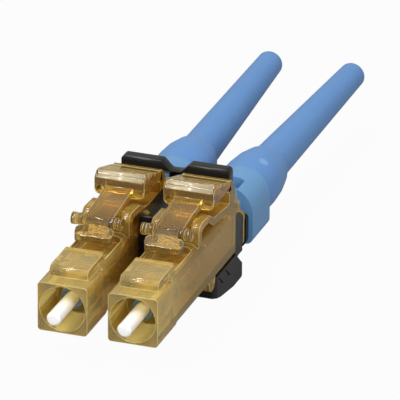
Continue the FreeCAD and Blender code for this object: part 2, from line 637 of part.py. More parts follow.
def grip_groove(number):
    """Gap between two of the teeth across the sloping top of the trigger."""
    start = TRIGGER_FRONT + TRIGGER_BEVEL
    fall = (TRIGGER_TOP - LEVER_ROOT_TOP) / (PIVOT_Y - start)
    y = start + GRIP_PITCH * (number + 0.5)
    z = TRIGGER_TOP - fall * (y - start)
    half = GRIP_WIDTH / 2
    corners = [(y - half, z + GRIP_DEPTH, 0), (y - half / 2, z - GRIP_DEPTH, EDGE_SHARP),
               (y + half / 2, z - GRIP_DEPTH, EDGE_SHARP), (y + half, z + GRIP_DEPTH, 0)]
    return side_solid(corners, -TRIGGER_HALF - PAST, TRIGGER_HALF + PAST)


def finger_scoop(side):
    """Hollow in the trigger's front face beside the beam."""
    middle = side * (BEAM_HALF + TRIGGER_HALF) / 2
    end = Vector(middle, TRIGGER_FRONT + SCOOP_DEPTH, (BEAM_ROOT_TOP + TRIGGER_LIP) / 2 + SCOOP_RISE)
    bore = Part.makeCylinder(SCOOP_R, SCOOP_DEPTH + PAST, end, Vector(0, -1, 0))
    return bore.fuse(Part.makeCone(SCOOP_R, 0, SCOOP_R, end, Vector(0, 1, 0)))


def latch_lever():
    """Beam with two lugs and a free tip, and the trigger that ends at the rear post."""
    half = TRIGGER_HALF
    lever = side_solid(lever_side(), -half, half)
    lever = lever.common(plan_solid(lever_plan(), 0, TRIGGER_TOP + PAST))
    front_view = block(half, TRIGGER_LIP, TRIGGER_TOP, TRIGGER_TOP_CORNER, TRIGGER_CORNER,
                       TRIGGER_FRONT, PIVOT_Y)
    beam_room = box(-half, half, 0, TRIGGER_FRONT, 0, TRIGGER_TOP)
    lever = lever.common(front_view.fuse(beam_room))
    for number in range(BEVEL_GROOVES):
        lever = lever.cut(bevel_groove(number))
    for number in range(GRIP_COUNT):
        lever = lever.cut(grip_groove(number))
    for side in (-1, 1):
        lever = lever.cut(finger_scoop(side)).fuse(lug(side))
    return lever


# ---------------------------------------------------------------- ferrule, holder, spring

def ferrule():
    """Ceramic pin with a chamfered tip."""
    tip = -FERRULE_OUT
    return turned([(tip, 0), (tip, FERRULE_R - FERRULE_CHAMFER),
                   (tip + FERRULE_CHAMFER, FERRULE_R), (FERRULE_REAR, FERRULE_R),
                   (FERRULE_REAR, 0)])


def ferrule_holder():
    """Collar round the ferrule, hexagon that seats on the bulkhead, and stem for the spring."""
    floor = FERRULE_REAR + FIT_GAP
    step = HEX_REAR - HEX_STEP
    outer = turned([(HOLDER_FRONT, 0), (HOLDER_FRONT, HOLDER_R - HOLDER_RIM),
                    (HOLDER_FRONT + HOLDER_RIM, HOLDER_R), (step, HOLDER_R), (step, STEM_R),
                    (STEM_END, STEM_R), (STEM_END, 0)])
    outer = outer.fuse(front_solid(polygon(HEX_CORNER_R, 6), HEX_FRONT, HEX_REAR))
    outer = outer.cut(rod(FERRULE_R + FIT_GAP / 2, HOLDER_FRONT - PAST, floor))
    return outer.cut(rod(GUIDE_R + FIT_GAP, floor - PAST, STEM_END + PAST))


def guide_tube():
    """Thin tube that leads the fibre from the holder through the crimp body."""
    start, end = HEX_REAR + GUIDE_START, REAR_BODY_END - GUIDE_SHORT
    return rod(GUIDE_R, start, end).cut(rod(GUIDE_R - GUIDE_WALL, start, end))


def spring():
    """Compression spring between the hexagon and the crimp body."""
    start = HEX_REAR + WIRE_R + SEAT_GAP
    length = STOP_Y - WIRE_R - SEAT_GAP - start
    helix = Part.makeHelix(length / SPRING_TURN_COUNT, length, SPRING_R)
    ring = [Vector(SPRING_R + a, 0, b) for a, b, _ in polygon(WIRE_R, WIRE_FLAT_COUNT)]
    ring.append(ring[0])
    coil = Part.Wire(helix.Edges).makePipeShell([Part.makePolygon(ring)], True, True)
    coil.rotate(Vector(0, 0, 0), Vector(1, 0, 0), -90)
    coil.translate(Vector(0, start, 0))
    return coil


# ---------------------------------------------------------------- crimp body and sleeve

def crimp_body():
    """Square head inside the housing and a grooved tube that the sleeve grips."""
    body = spigot(STOP_Y, STOP_END).fuse(rod(POST_TUBE_R, STOP_END - SINK, POST_TUBE_END))
    first = SLEEVE_START + CRIMP_RING_INSET
    grooves = int((POST_TUBE_END - first) / CRIMP_RING_PITCH)
    for number in range(grooves):
        y = first + CRIMP_RING_PITCH * number
        ring = rod(POST_TUBE_R + PAST, y, y + CRIMP_RING_PITCH / 2)
        body = body.cut(ring.cut(rod(POST_TUBE_R - CRIMP_RING_DEPTH, y - PAST, y + CRIMP_RING_PITCH)))
    return body.cut(rod(GUIDE_R + RUN_GAP, STOP_Y - PAST, POST_TUBE_END + PAST))


def crimp_sleeve():
    """Plain metal ring over the rear of the crimp body."""
    sleeve = rod(SLEEVE_R, SLEEVE_START, SLEEVE_END)
    return sleeve.cut(rod(SLEEVE_BORE_R, SLEEVE_START - PAST, SLEEVE_END + PAST))


# ---------------------------------------------------------------- rear body

def rear_body():
    """Round on top and square below, with a key slot on top and a spigot in the housing."""
    half = REAR_BODY_HALF
    body = block(half, -half, half, half - REAR_BODY_FLAT, REAR_BODY_CORNER,
                 REAR_BODY_FRONT, REAR_BODY_END)
    key_slot = box(-REAR_SLOT_HALF, REAR_SLOT_HALF, REAR_BODY_FRONT - PAST,
                   REAR_BODY_FRONT + REAR_SLOT_LENGTH, half - REAR_SLOT_DEPTH, half + PAST)
    body = body.cut(key_slot).fuse(spigot(STOP_END + FIT_GAP, REAR_BODY_FRONT + SINK))
    return body.cut(rod(SLEEVE_BORE_R, STOP_END - PAST, REAR_BODY_END + PAST))


# ---------------------------------------------------------------- boot

def boot_half_section():
    """(Y, radius) corners: collar with a belly, neck, long tail and the bore."""
    front = BOOT_FRONT - SINK
    belly = (REAR_BODY_END + BOOT_BELLY, REAR_BODY_HALF)
    shoulder = (COLLAR_END - EDGE_FINE, COLLAR_R)
    swell = ((belly[0] + shoulder[0]) / 2, (belly[1] + shoulder[1]) / 2 + COLLAR_SWELL)
    neck = (COLLAR_END + EDGE_SHARP, (COLLAR_R + BOOT_TAIL_R) / 2)
    return [(front, SLEEVE_ROOM_R), (front, BOOT_FRONT_R), belly, swell, shoulder, neck,
            (BOOT_NECK, BOOT_TAIL_R), (BOOT_END - BOOT_END_ROUND, BOOT_END_R),
            (BOOT_END, BOOT_END_R - BOOT_END_ROUND), (BOOT_END, BOOT_BORE_R),
            (SLEEVE_ROOM_END, BOOT_BORE_R), (SLEEVE_ROOM_END, SLEEVE_ROOM_R)]


def boot(side):
    """Soft boot that leans outwards from the seam; its front is square to the rear body."""
    solid = turned(boot_half_section())
    solid.rotate(Vector(0, REAR_BODY_END, 0), Vector(0, 0, 1), -side * BOOT_SPLAY)
    room = REAR_BODY_HALF + PAST
    return solid.cut(box(-room, room, BOOT_FRONT - PAST, BOOT_FRONT, -room, room))


# ---------------------------------------------------------------- duplex clip

def clip_bar():
    """Upper bar behind the two rear posts, cut to two tabs with a valley between them."""
    outer = PITCH / 2 + CLIP_TAB_OUTER
    inner = PITCH / 2 - CLIP_TAB_INNER
    foot = CLIP_TOP - CLIP_BAR_DEPTH
    low = foot - CLIP_BAR_SLOPE
    rear = CLIP_BAR_REAR
    outline = [(outer, low, EDGE_SOFT), (outer, CLIP_TOP, CLIP_TAB_CORNER),
               (inner, CLIP_TOP, CLIP_TAB_CORNER),
               (inner - CLIP_TAB_SLANT, CLIP_VALLEY, EDGE_ROUND)]
    outline += [(-x, z, r) for x, z, r in reversed(outline)]
    side = [(CLIP_BAR_FRONT, foot, EDGE_SOFT), (CLIP_BAR_FRONT, CLIP_TOP, EDGE_SOFT),
            (rear, CLIP_TOP, EDGE_SOFT), (rear, low, EDGE_SOFT)]
    return front_solid(outline, CLIP_BAR_FRONT, rear).common(side_solid(side, -outer, outer))


def clip_posts():
    """Middle web between the plugs and the two outer posts, in the housings' side slots."""
    front, rear = SLOT_FRONT + CLIP_GAP, SLOT_REAR - CLIP_GAP
    slot_edge = PITCH / 2 - SPIGOT_HALF - CLIP_GAP
    between = PITCH / 2 - BODY_HALF - CLIP_GAP
    low = CLIP_FLOOR - SINK
    profile = [(front, low, 0), (front, SLOT_TOP - CLIP_GAP, EDGE_ROUND),
               (front + SLOT_FLAT - CLIP_GAP, SLOT_TOP - CLIP_GAP, EDGE_SOFT),
               (rear, SLOT_REAR_TOP - CLIP_GAP, EDGE_SOFT), (rear, low, 0)]
    neck_top = CLIP_VALLEY - EDGE_SOFT
    web_front = front - WEB_REACH
    web = [(FOOT_FRONT, low, 0), (web_front, -WEB_CHIN_DROP, 0), (web_front, WEB_TOP, EDGE_FINE),
           (front, WEB_TOP, 0), (front, neck_top, 0), (CLIP_BAR_REAR + EDGE_SOFT, neck_top, 0),
           (rear, SLOT_REAR_TOP - CLIP_GAP, 0), (rear, low, 0)]
    posts = [side_solid(profile, -slot_edge, slot_edge), side_solid(web, -between, between)]
    for side in (-1, 1):
        inner = side * (PITCH / 2 + SPIGOT_HALF + CLIP_GAP)
        outer = side * (PITCH / 2 + BODY_HALF - CLIP_POST_OUT)
        posts.append(side_solid(profile, *sorted((inner, outer))))
    return posts


def rib_slot(number, side):
    """One of the slanted grooves in a side of the foot."""
    y = FOOT_FRONT + RIB_SLOT_START + RIB_SLOT_PITCH * number
    top = CLIP_FLOOR - RIB_SLOT_TOP
    low = top - RIB_SLOT_HEIGHT
    corners = [(y, top, 0), (y + RIB_SLOT_WIDTH, top, 0),
               (y + RIB_SLOT_WIDTH + RIB_SLOT_LEAN, low, 0), (y + RIB_SLOT_LEAN, low, 0)]
    inner, outer = sorted((side * (CLIP_HALF - RIB_SLOT_DEPTH), side * (CLIP_HALF + PAST)))
    return side_solid(corners, inner, outer)


def heel_cut(side):
    """Wedge taken off the foot's rear upper corner, so that only its middle reaches the saddle."""
    past_rear = SADDLE_PLATE_REAR + PAST
    top = CLIP_FLOOR + PAST
    corners = [(FOOT_REAR - HEEL_CUT_LENGTH, top, 0), (FOOT_REAR - HEEL_CUT_LENGTH, CLIP_FLOOR, 0),
               (FOOT_REAR, CLIP_FLOOR - HEEL_CUT_DROP, 0), (past_rear, CLIP_FLOOR - HEEL_CUT_DROP, 0),
               (past_rear, top, 0)]
    inner, outer = sorted((side * (CLIP_HALF - HEEL_CUT_WIDTH), side * (CLIP_HALF + PAST)))
    return side_solid(corners, inner, outer)


def clip_foot():
    """Base that carries the posts, with chamfered ends and short grooves in its sides."""
    half = CLIP_HALF
    plate = half - BODY_HALF + SPIGOT_HALF
    side = [(FOOT_FRONT, CLIP_FLOOR, 0), (FOOT_FRONT, -FOOT_FRONT_DROP, EDGE_SOFT),
            (FOOT_FRONT + FOOT_TOE_LENGTH, -FOOT_FRONT_DROP - FOOT_TOE_DROP, EDGE_ROUND),
            (FOOT_REAR - FOOT_FLAT, -FOOT_REAR_DROP, EDGE_ROUND),
            (FOOT_REAR, -FOOT_REAR_DROP, EDGE_SOFT),
            (FOOT_REAR + EDGE_FINE, -FOOT_FRONT_DROP + FOOT_HEEL, EDGE_SOFT),
            (SADDLE_PLATE_REAR, -SADDLE_PLATE_DROP - SINK, 0), (SADDLE_PLATE_REAR, CLIP_FLOOR, 0)]
    chamfer_end = FOOT_FRONT + FOOT_CHAMFER_LENGTH
    right = [(half - FOOT_CHAMFER, FOOT_FRONT, 0), (half, chamfer_end, 0), (half, FOOT_REAR, 0),
             (plate, SADDLE_PLATE_REAR, 0)]
    plan = right + [(-x, y, r) for x, y, r in reversed(right)]
    foot = side_solid(side, -half, half).common(plan_solid(plan, -FOOT_REAR_DROP, CLIP_FLOOR))
    for number in range(RIB_SLOT_COUNT):
        for side in (-1, 1):
            foot = foot.cut(rib_slot(number, side))
    for side in (-1, 1):
        foot = foot.cut(heel_cut(side))
    stop = UNDER_LUG_Y + UNDER_LUG_R + CLIP_GAP
    stop_floor = -BODY_HALF - UNDER_LUG_DROP - CLIP_GAP
    for side in (-1, 1):
        inner = side * (PITCH / 2 - BODY_HALF)
        foot = foot.cut(box(inner, side * half, FOOT_FRONT - PAST, stop, stop_floor, CLIP_FLOOR))
    return foot


def clip_saddle(side):
    """U-shaped plate behind one housing's rear flange."""
    half = BODY_HALF + SADDLE_PLATE_OUT
    opening = SPIGOT_HALF + CLIP_GAP
    plate = block(half, -SADDLE_PLATE_DROP, SADDLE_PLATE_TOP, EDGE_ROUND, SADDLE_PLATE_R,
                  SADDLE_PLATE_FRONT, SADDLE_PLATE_REAR)
    gap = block(opening, -opening, SADDLE_PLATE_TOP + PAST, 0, EDGE_SOFT,
                SADDLE_PLATE_FRONT - PAST, SADDLE_PLATE_REAR + PAST)
    plate = plate.cut(gap)
    plate.translate(Vector(side * PITCH / 2, 0, 0))
    return plate


def duplex_clip():
    """One moulding that holds the two plugs at their pitch."""
    clip = clip_foot()
    for piece in clip_posts() + [clip_bar(), clip_saddle(-1), clip_saddle(1)]:
        clip = clip.fuse(piece)
    return clip.removeSplitter()


# ---------------------------------------------------------------- assembly

def plug(side):
    """All pieces of one plug, drawn on the ferrule axis and then moved to its side."""
    pieces = {"housing": housing(), "latch_lever": latch_lever(), "ferrule": ferrule(),
              "ferrule_holder": ferrule_holder(), "spring": spring(), "guide_tube": guide_tube(),
              "crimp_body": crimp_body(), "crimp_sleeve": crimp_sleeve(),
              "rear_body": rear_body(), "boot": boot(side)}
    for piece in pieces.values():
        piece.translate(Vector(side * PITCH / 2, 0, 0))
    return pieces


def origin_shift():
    """Moves the datum to the bottom centre of the whole connector."""
    lean = math.radians(BOOT_SPLAY)
    rear = (REAR_BODY_END + BOOT_LENGTH * math.cos(lean)
            + (BOOT_END_R - BOOT_END_ROUND) * math.sin(lean))
    return Vector(0, -(rear - FERRULE_OUT) / 2, FOOT_REAR_DROP)


def main():
    os.makedirs("parts", exist_ok=True)
    nodes = {"duplex_clip": duplex_clip()}
    for name, side in (("left", -1), ("right", 1)):
        for piece, shape in plug(side).items():
            nodes[name + "_" + piece] = shape
    shift = origin_shift()
    for name, shape in nodes.items():
        shape.translate(shift)
        extent = shape.BoundBox
        print("%-22s solids %d  valid %s  volume %8.3f  Y %7.2f..%6.2f  Z %6.2f..%5.2f" % (
            name, len(shape.Solids), shape.isValid(), shape.Volume,
            extent.YMin, extent.YMax, extent.ZMin, extent.ZMax))
        shape.exportStep("parts/" + name + ".step")


main()
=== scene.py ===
"""A duplex fibre connector, dressed for a studio view.

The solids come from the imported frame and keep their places. This script gives every piece its
finish and its softened edges, adds the ribs of the two triggers, and sets the floor, the lamps and
the camera. Lengths are in millimetres and angles in degrees, unless a comment says otherwise.
"""
import logging
import math
from dataclasses import dataclass, field
from enum import Enum

import bpy
from mathutils import Matrix, Vector


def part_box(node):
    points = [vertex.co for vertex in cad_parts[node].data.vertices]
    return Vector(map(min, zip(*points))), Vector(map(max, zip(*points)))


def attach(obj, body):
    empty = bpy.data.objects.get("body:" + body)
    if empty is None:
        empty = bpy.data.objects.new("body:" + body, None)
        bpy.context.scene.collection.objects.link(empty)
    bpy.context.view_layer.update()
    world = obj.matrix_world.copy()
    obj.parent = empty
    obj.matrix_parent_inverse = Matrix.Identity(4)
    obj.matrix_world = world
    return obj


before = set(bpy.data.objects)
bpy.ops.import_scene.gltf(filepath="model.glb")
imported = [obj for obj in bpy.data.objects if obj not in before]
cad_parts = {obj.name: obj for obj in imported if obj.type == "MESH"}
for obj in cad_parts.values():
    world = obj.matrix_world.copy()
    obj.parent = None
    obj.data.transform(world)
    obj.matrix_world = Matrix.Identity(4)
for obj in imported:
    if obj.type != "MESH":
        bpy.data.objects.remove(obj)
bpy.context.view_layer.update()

MM = 0.001
LOG = logging.getLogger("connector")

Colour = tuple[float, float, float]
Point = tuple[float, float, float]
Shares = tuple[float, float, float]
Span = tuple[float, float]
Socket = bpy.types.NodeSocket

WELD_DISTANCE = 0.0005          # points of one solid that lie nearer than this are joined
FLAT_ANGLE = 0.4                # facets that meet at less than this become one face
BEVEL_ANGLE = 32.0              # edges that turn by more than this are rounded
BEVEL_STEPS = 2
SHARP_ANGLE = 35.0              # edges that turn by more than this stay sharp in the shading

FULL: Span = (0.0, 1.0)
NOISE_MIDDLE: Span = (0.25, 0.75)   # nearly all values of a noise lie in here
WAVE_FACTOR = 20.0              # what the wave texture multiplies its coordinate by


class Side(Enum):
    """Which of the two plugs a piece belongs to."""

    LEFT = "left"
    RIGHT = "right"


class Edge(Enum):
    """How far the edges of a piece are rounded."""

    CRISP = 0.015
    FINE = 0.018
    MOULDED = 0.03
    SOFT = 0.06


# ------------------------------------------------------------------------------ shader helpers


@dataclass
class NodeTree:
    """Short ways to add and join the nodes of one material or world."""

    owner: bpy.types.Material | bpy.types.World

    def add(self, kind: str, **settings: object) -> bpy.types.Node:
        """Adds one node.

        Args:
            kind: the node's class name, without the ShaderNode prefix.
            settings: properties of the node, or input sockets with _ for each space.

        Returns:
            The new node.
        """
        node = self.owner.node_tree.nodes.new("ShaderNode" + kind)
        for name, value in settings.items():
            if hasattr(node, name):
                setattr(node, name, value)
            else:
                node.inputs[name.replace("_", " ")].default_value = value
        return node

    def join(self, source: Socket, target: Socket) -> None:
        """Links an output socket to an input socket."""
        self.owner.node_tree.links.new(source, target)

    def place(self) -> Socket:
        """The place of a point in the object's own coordinates."""
        return self.add("TexCoord").outputs["Object"]

    def noise(self, size: float, detail: float = 2.0) -> Socket:
        """Noise over the object's own coordinates.

        Args:
            size: the size of the larger blotches.
            detail: how many finer layers are added.

        Returns:
            A value between 0 and 1.
        """
        noise = self.add("TexNoise", Scale=1.0 / (size * MM), Detail=detail)
        self.join(self.place(), noise.inputs["Vector"])
        return noise.outputs["Fac"]

    def remap(self, source: Socket, given: Span, wanted: Span) -> Socket:
        """Maps one range of a value to another, and stops at the ends.

        Args:
            source: the value.
            given: the range that the value comes in.
            wanted: the range that it is mapped to.

        Returns:
            The mapped value.
        """
        ranged = self.add("MapRange", From_Min=given[0], From_Max=given[1],
                          To_Min=wanted[0], To_Max=wanted[1])
        self.join(source, ranged.inputs["Value"])
        return ranged.outputs["Result"]

    def blend(self, factor: Socket, first: Colour | Socket, second: Colour | Socket) -> Socket:
        """Mixes two colours.

        Args:
            factor: 0 gives the first colour and 1 the second.
            first: a colour, or the socket that gives it.
            second: a colour, or the socket that gives it.

        Returns:
            The mixed colour.
        """
        mix = self.add("Mix", data_type="RGBA")
        self.join(factor, mix.inputs["Factor"])
        for name, colour in (("A", first), ("B", second)):
            if isinstance(colour, Socket):
                self.join(colour, mix.inputs[name])
            else:
                mix.inputs[name].default_value = (*colour, 1.0)
        return mix.outputs["Result"]

    def bump(self, height: Socket, depth: float, normal: Socket) -> None:
        """Sends a height to a shader's normal input.

        Args:
            height: the height, 0 to 1.
            depth: how deep a full step is.
            normal: the Normal input that it drives.
        """
        node = self.add("Bump", Distance=depth * MM, Strength=1.0)
        self.join(height, node.inputs["Height"])
        self.join(node.outputs["Normal"], normal)


def new_material(name: str) -> tuple[NodeTree, bpy.types.Node, bpy.types.Node]:
    """Makes an empty material.

    Args:
        name: the material's name.

    Returns:
        Its node tree helper, its Principled shader and its output node.
    """
    material = bpy.data.materials.new(name)
    material.use_nodes = True
    material.node_tree.nodes.clear()
    tree = NodeTree(material)
    shader = tree.add("BsdfPrincipled")
    output = tree.add("OutputMaterial")
    tree.join(shader.outputs["BSDF"], output.inputs["Surface"])
    return tree, shader, output


# ------------------------------------------------------------------------------ finishes


@dataclass(frozen=True)
class AmberFinish:
    """Clear amber moulding whose colour goes from one tone at the front to another at the rear, a
    painted shade for the light and shade seen through it.

    Its edges are given a lighter, less clear colour than its faces: a painted highlight for the light
    that gathers there in clear plastic.
    """

    name: str
    # painted light and shade: the front and rear colours stand in for the light and shade seen through
    # the moulding
    front: Colour = (1.0, 0.84, 0.33)
    rear: Colour = (0.74, 0.49, 0.10)
    change: Span = (3.96, 8.96)         # where the tone changes, behind the noses' front faces
    streak_size: float = 2.6            # streaks that the flow into the mould leaves
    streak_share: float = 0.3           # how much of the change of tone they make
    transmission: float = 0.80
    roughness: Span = (0.06, 0.14)
    ior: float = 1.42
    specular: float = 0.08
    absorb: Colour = (0.79, 0.64, 0.05)
    density: float = 640.0              # per metre
    ripple_size: float = 1.3
    ripple_depth: float = 0.002
    # painted highlight: the lighter colour and lower transmission given to the edges
    rim: Colour = (1.0, 0.88, 0.40)
    rim_width: float = 0.12
    rim_transmission: float = 0.3
    rim_turn: Span = (0.99, 0.86)       # cosine of the turn where a rim begins and where it is full
    rim_samples: int = 8

    def build(self) -> bpy.types.Material:
        """Makes the material.

        Returns:
            The material.
        """
        tree, shader, output = new_material(self.name)
        streaks = tree.noise(self.streak_size, 3.0)
        edge = self.edges(tree)
        # painted shade: the colour goes from the front tone to the rear tone along the plug
        colour = tree.blend(self.tone(tree, streaks), self.front, self.rear)
        # painted highlight: the edges take the lighter colour
        tree.join(tree.blend(edge, colour, self.rim), shader.inputs["Base Color"])
        clear = tree.remap(edge, FULL, (self.transmission, self.rim_transmission))
        tree.join(clear, shader.inputs["Transmission Weight"])
        tree.join(tree.remap(streaks, NOISE_MIDDLE, self.roughness), shader.inputs["Roughness"])
        shader.inputs["IOR"].default_value = self.ior
        shader.inputs["Specular IOR Level"].default_value = self.specular
        tree.bump(tree.noise(self.ripple_size, 1.0), self.ripple_depth, shader.inputs["Normal"])
        inside = tree.add("VolumeAbsorption", Color=(*self.absorb, 1.0), Density=self.density)
        tree.join(inside.outputs["Volume"], output.inputs["Volume"])
        return tree.owner

    def tone(self, tree: NodeTree, streaks: Socket) -> Socket:
        """A value that rises from 0 to 1 along the plug, roughened by the streaks: how far the painted
        shade has moved from the front colour to the rear one.

        Args:
            tree: the material's node tree.
            streaks: the streaks, 0 to 1.

        Returns:
            The value.
        """
        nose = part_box("right_housing")[0][1]
        start, end = (nose + length * MM for length in self.change)
        split = tree.add("SeparateXYZ")
        tree.join(tree.place(), split.inputs["Vector"])
        rise = tree.remap(split.outputs["Y"], (start, end), (0.0, 1.0 - self.streak_share))
        total = tree.add("Math", operation="MULTIPLY_ADD")
        total.inputs[1].default_value = self.streak_share
        tree.join(streaks, total.inputs[0])
        tree.join(rise, total.inputs[2])
        return total.outputs[0]

    def edges(self, tree: NodeTree) -> Socket:
        """A value of 1 along the edges and 0 on the faces: the mask of the painted edge highlight.

        Args:
            tree: the material's node tree.

        Returns:
            The value.
        """
        rounded = tree.add("Bevel", samples=self.rim_samples, Radius=self.rim_width * MM)
        faces = tree.add("NewGeometry")
        same = tree.add("VectorMath", operation="DOT_PRODUCT")
        tree.join(rounded.outputs["Normal"], same.inputs[0])
        tree.join(faces.outputs["Normal"], same.inputs[1])
        return tree.remap(same.outputs["Value"], self.rim_turn, FULL)


@dataclass(frozen=True)
class GateMark:
    """A pale round scar on the right boot's collar, where the mould's gate was."""

    from_side: float = 1.361            # in from the boot's outer side
    from_front: float = 2.059
    from_top: float = 0.23
    radius: float = 0.55
    core: float = 0.6                   # share of the radius that is fully pale
    strength: float = 0.30
    colour: Colour = (0.30, 0.50, 0.74)

    def build(self, tree: NodeTree, base: Socket) -> Socket:
        """Puts the mark on a colour.

        Args:
            tree: the material's node tree.
            base: the colour without the mark.

        Returns:
            The colour with the mark.
        """
        low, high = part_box("right_boot")
        centre = (high[0] - self.from_side * MM, low[1] + self.from_front * MM,
                  high[2] - self.from_top * MM)
        away = tree.add("VectorMath", operation="DISTANCE")
        away.inputs[1].default_value = centre
        tree.join(tree.place(), away.inputs[0])
        rim = (self.radius * MM, self.radius * MM * self.core)
        spot = tree.remap(away.outputs["Value"], rim, (0.0, self.strength))
        return tree.blend(spot, base, self.colour)


@dataclass(frozen=True)
class PlasticFinish:
    """Opaque moulding with soft patches and a fine spark-eroded skin.

    It also stands for rubber and ceramic.
    """

    name: str
    colour: Colour
    patch: Colour
    roughness: Span
    patch_size: float = 5.0
    grain: float = 0.09
    grain_depth: float = 0.002
    specular: float = 0.5
    sheen: float = 0.0
    coat: float = 0.0
    subsurface: float = 0.0
    subsurface_reach: float = 0.4
    mark: GateMark | None = None

    def build(self) -> bpy.types.Material:
        """Makes the material.

        Returns:
            The material.
        """
        tree, shader, _ = new_material(self.name)
        patches = tree.noise(self.patch_size, 3.0)
        colour = tree.blend(patches, self.colour, self.patch)
        if self.mark is not None:
            colour = self.mark.build(tree, colour)
        tree.join(colour, shader.inputs["Base Color"])
        tree.join(tree.remap(patches, NOISE_MIDDLE, self.roughness), shader.inputs["Roughness"])
        tree.bump(tree.noise(self.grain), self.grain_depth, shader.inputs["Normal"])
        shader.inputs["Specular IOR Level"].default_value = self.specular
        shader.inputs["Sheen Weight"].default_value = self.sheen
        shader.inputs["Coat Weight"].default_value = self.coat
        shader.inputs["Subsurface Weight"].default_value = self.subsurface
        shader.inputs["Subsurface Scale"].default_value = self.subsurface_reach * MM
        return tree.owner


@dataclass(frozen=True)
class TurnedMetal:
    """Turned metal with fine rings round the plug's axis."""

    name: str
    colour: Colour
    roughness: Span
    stain_size: float = 1.2
    stain_level: float = 0.8            # how bright a stain is, against the clean metal
    ring: float = 0.06                  # distance from ring to ring, over 2 pi
    ring_depth: float = 0.002
    ring_waver: float = 0.4

    def build(self) -> bpy.types.Material:
        """Makes the material.

        Returns:
            The material.
        """
        tree, shader, _ = new_material(self.name)
        stains = tree.noise(self.stain_size)
        darker = tuple(channel * self.stain_level for channel in self.colour)
        tree.join(tree.blend(stains, self.colour, darker), shader.inputs["Base Color"])
        tree.join(tree.remap(stains, NOISE_MIDDLE, self.roughness), shader.inputs["Roughness"])
        shader.inputs["Metallic"].default_value = 1.0
        rings = tree.add("TexWave", bands_direction="Y", Distortion=self.ring_waver,
                         Scale=1.0 / (self.ring * MM * WAVE_FACTOR))
        tree.join(tree.place(), rings.inputs["Vector"])
        tree.bump(rings.outputs["Fac"], self.ring_depth, shader.inputs["Normal"])
        return tree.owner


class Finishes:
    """Every finish of the connector, each made once."""

    def __init__(self) -> None:
        """Builds the materials."""
        self.body = AmberFinish("amber_body").build()
        # painted light and shade: the lever's front, its plates, is darker and its rear lighter, for
        # the light and shade seen through them
        self.lever = AmberFinish("amber_lever", front=(0.44, 0.33, 0.12), rear=(0.90, 0.69, 0.25),
                                 change=(8.36, 11.36), transmission=0.90, roughness=(0.02, 0.05),
                                 specular=0.45, density=760.0, ripple_depth=0.0006,
                                 rim_width=0.09).build()
        # the ribs are opaque and paler than the clear amber: partly a painted highlight for the glare
        # on the trigger's bars, which the lamps also light
        self.rib = PlasticFinish("amber_rib_with_painted_highlight", (0.46, 0.40, 0.27), (0.34, 0.28, 0.17),
                                 (0.06, 0.12), grain_depth=0.0, specular=0.8, coat=0.2).build()
        self.clip = PlasticFinish("clip_plastic", (0.007, 0.007, 0.007), (0.012, 0.011, 0.010),
                                  (0.16, 0.26), specular=0.22).build()
        self.rear = PlasticFinish("rear_plastic", (0.112, 0.255, 0.455), (0.098, 0.235, 0.425),
                                  (0.35, 0.45), specular=0.4).build()
        self.boot = PlasticFinish("boot_rubber", (0.088, 0.216, 0.455), (0.077, 0.196, 0.425),
                                  (0.50, 0.62), specular=0.35, sheen=0.08, mark=GateMark()).build()
        self.ceramic = PlasticFinish("ceramic", (0.90, 0.89, 0.87), (0.87, 0.86, 0.84),
                                     (0.14, 0.22), grain_depth=0.0006, coat=0.3, subsurface=0.2).build()
        self.guide = PlasticFinish("guide_plastic", (0.80, 0.80, 0.76), (0.76, 0.76, 0.72),
                                   (0.40, 0.55)).build()
        self.holder = TurnedMetal("holder_steel", (0.20, 0.27, 0.36), (0.22, 0.34)).build()
        self.wire = TurnedMetal("spring_steel", (0.55, 0.56, 0.58), (0.20, 0.32)).build()
        self.crimp = TurnedMetal("crimp_metal", (0.52, 0.52, 0.53), (0.25, 0.38)).build()
        self.sleeve = TurnedMetal("sleeve_metal", (0.62, 0.46, 0.24), (0.28, 0.40)).build()


# ------------------------------------------------------------------------------ pieces


def smooth_group() -> bpy.types.GeometryNodeTree:
    """A node group that shades every face smooth and keeps only the sharper edges sharp.

    Returns:
        The group, made at the first call.
    """
    name = "smooth_by_angle"
    if name in bpy.data.node_groups:
        return bpy.data.node_groups[name]
    group = bpy.data.node_groups.new(name, "GeometryNodeTree")
    group.interface.new_socket("Geometry", in_out="INPUT", socket_type="NodeSocketGeometry")
    group.interface.new_socket("Geometry", in_out="OUTPUT", socket_type="NodeSocketGeometry")
    nodes, links = group.nodes, group.links
    start = nodes.new("NodeGroupInput")
    end = nodes.new("NodeGroupOutput")
    drop = nodes.new("GeometryNodeRemoveAttribute")
    drop.inputs["Name"].default_value = "custom_normal"
    faces = nodes.new("GeometryNodeSetShadeSmooth")
    faces.domain = "FACE"
    angle = nodes.new("GeometryNodeInputMeshEdgeAngle")
    flat = nodes.new("FunctionNodeCompare")
    flat.operation = "LESS_EQUAL"
    flat.inputs["B"].default_value = math.radians(SHARP_ANGLE)
    edges = nodes.new("GeometryNodeSetShadeSmooth")
    edges.domain = "EDGE"
    links.new(start.outputs[0], drop.inputs["Geometry"])
    links.new(drop.outputs["Geometry"], faces.inputs["Geometry"])
    links.new(faces.outputs["Geometry"], edges.inputs["Geometry"])
    links.new(angle.outputs["Unsigned Angle"], flat.inputs["A"])
    links.new(flat.outputs["Result"], edges.inputs["Shade Smooth"])
    links.new(edges.outputs["Geometry"], end.inputs[0])
    return group


